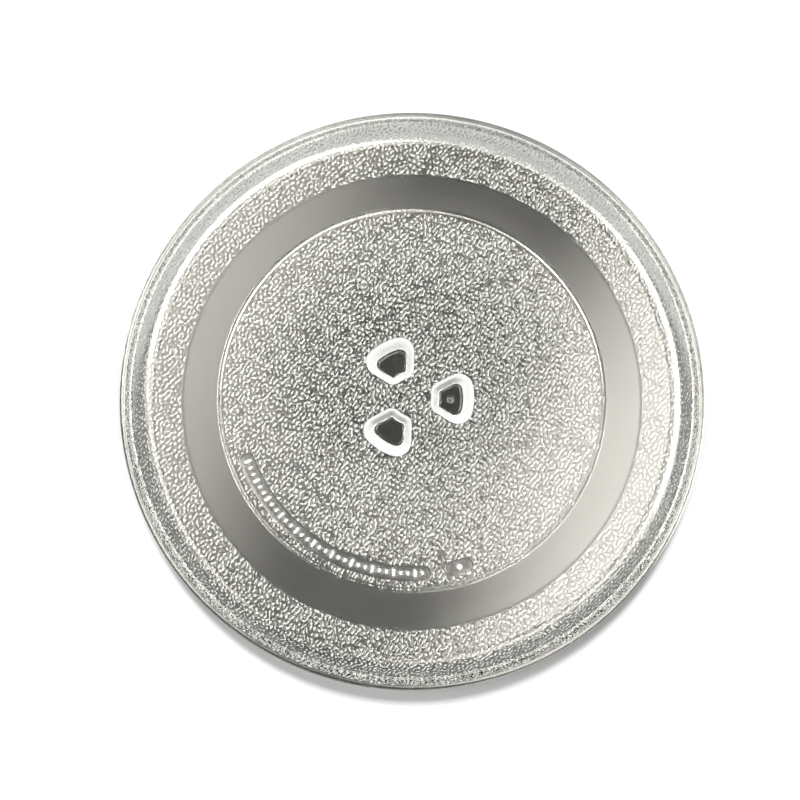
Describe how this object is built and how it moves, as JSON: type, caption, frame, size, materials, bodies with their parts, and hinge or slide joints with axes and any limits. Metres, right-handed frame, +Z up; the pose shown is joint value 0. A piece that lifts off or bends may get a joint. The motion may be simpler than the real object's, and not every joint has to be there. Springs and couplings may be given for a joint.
{
  "type": "microwave oven turntable plate",
  "caption": "Round pressed-glass plate with a raised disc, a smooth roller track, a sloping wall with a lip, and wedge-shaped drive lugs under its centre, turning food in a microwave oven.",
  "frame": {"origin": "on the plate's axis, level with the tips of the drive lugs on which it rests", "axes": "+Z up along the plate's axis, +X through the middle of one drive lug"},
  "size_m": [0.245, 0.245, 0.0168],
  "materials": {
    "pressed_glass": "clear pressed glass, smooth on top, stippled underneath"
  },
  "bodies": {
    "root": {"turntable_plate": "pressed_glass"}
  },
  "joints": []
}
